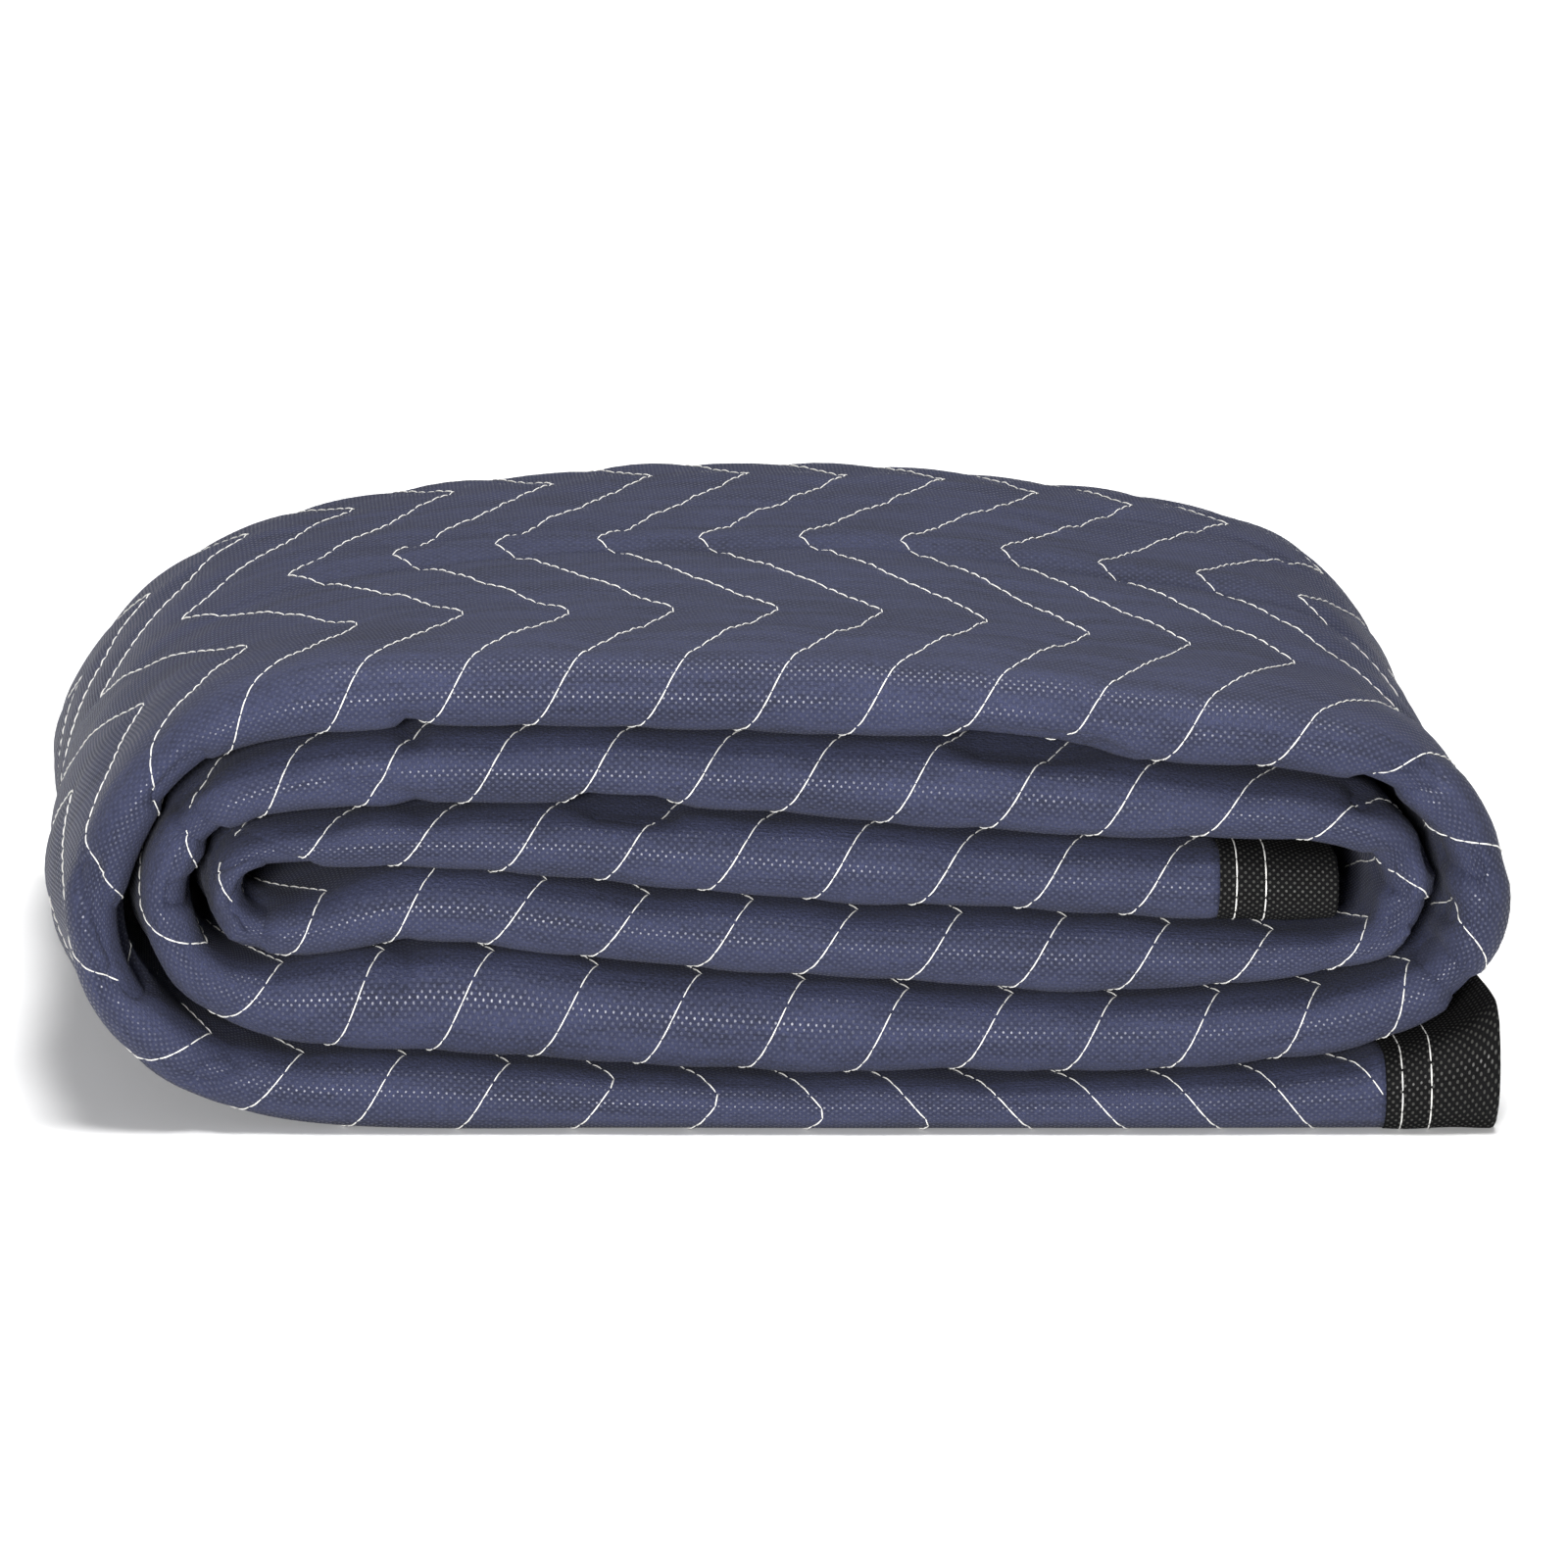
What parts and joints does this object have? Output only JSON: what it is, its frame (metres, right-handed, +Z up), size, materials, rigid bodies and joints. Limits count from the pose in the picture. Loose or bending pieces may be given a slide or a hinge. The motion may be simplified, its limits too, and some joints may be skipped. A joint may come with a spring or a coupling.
{
  "type": "folded moving blanket",
  "caption": "Quilted moving blanket in navy non-woven with black binding, folded lengthwise and wound into a flat pile that rests on its underside.",
  "frame": {"origin": "centre of the bounding box on the underside, where the pile rests", "axes": "+X along the layers towards the bound outer end, +Y from the front folds to the back, +Z up"},
  "size_m": [0.3828, 0.305, 0.125],
  "materials": {
    "navy_nonwoven": "matt quilted non-woven with a fine embossed dot pattern and white zigzag quilting stitches",
    "black_binding": "matt black non-woven with a fine embossed dot pattern, sewn with two rows of white stitches"
  },
  "bodies": {
    "root": {"blanket": "navy_nonwoven", "binding_inner_end": "black_binding", "binding_outer_end": "black_binding", "binding_side_outer": "black_binding", "binding_side_inner": "black_binding"}
  },
  "joints": []
}
